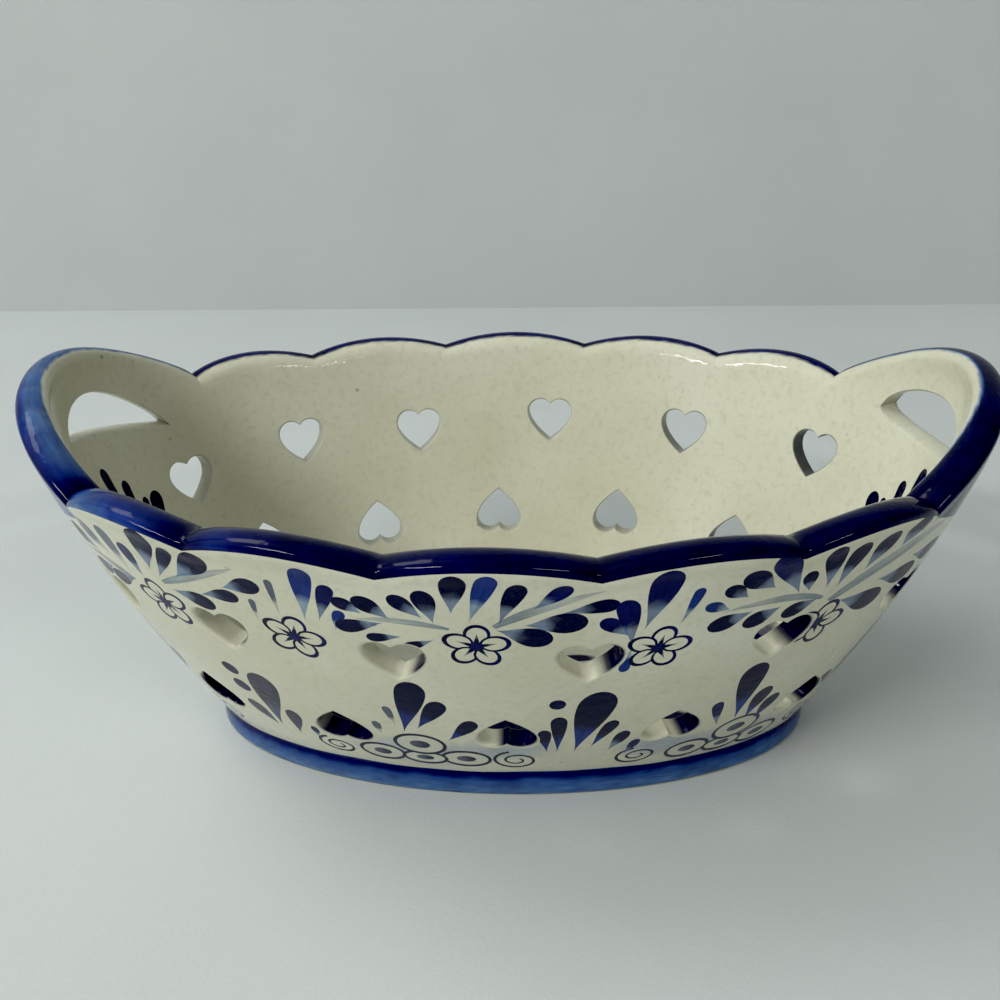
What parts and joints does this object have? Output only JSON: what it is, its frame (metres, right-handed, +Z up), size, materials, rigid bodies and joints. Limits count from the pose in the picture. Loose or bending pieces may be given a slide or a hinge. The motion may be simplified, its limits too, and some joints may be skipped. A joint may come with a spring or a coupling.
{
  "type": "basket trinket dish",
  "caption": "Oval glazed earthenware basket dish with a flared heart-pierced wall, scalloped painted lip and an upswept bow handle at each end, for holding small trinkets.",
  "frame": {"origin": "on the table under the middle of the dish, in the plane the foot rests on", "axes": "+X along the dish from the left handle to the right one, +Y across it from the front to the back, +Z up"},
  "size_m": [0.1588, 0.1054, 0.0697],
  "materials": {
    "cream_glaze": "glossy clear glaze over cream earthenware, painted in cobalt outside",
    "cobalt_glaze": "glossy cobalt brushwork under clear glaze, streaky and darker at the cusps",
    "foot_glaze": "thin cobalt wash under clear glaze, bare clay on the resting edge"
  },
  "bodies": {
    "root": {"foot_ring": "foot_glaze", "floor": "cream_glaze", "pierced_wall": "cream_glaze", "front_lip": "cobalt_glaze", "back_lip": "cobalt_glaze", "left_handle": "cobalt_glaze", "right_handle": "cobalt_glaze"}
  },
  "joints": []
}
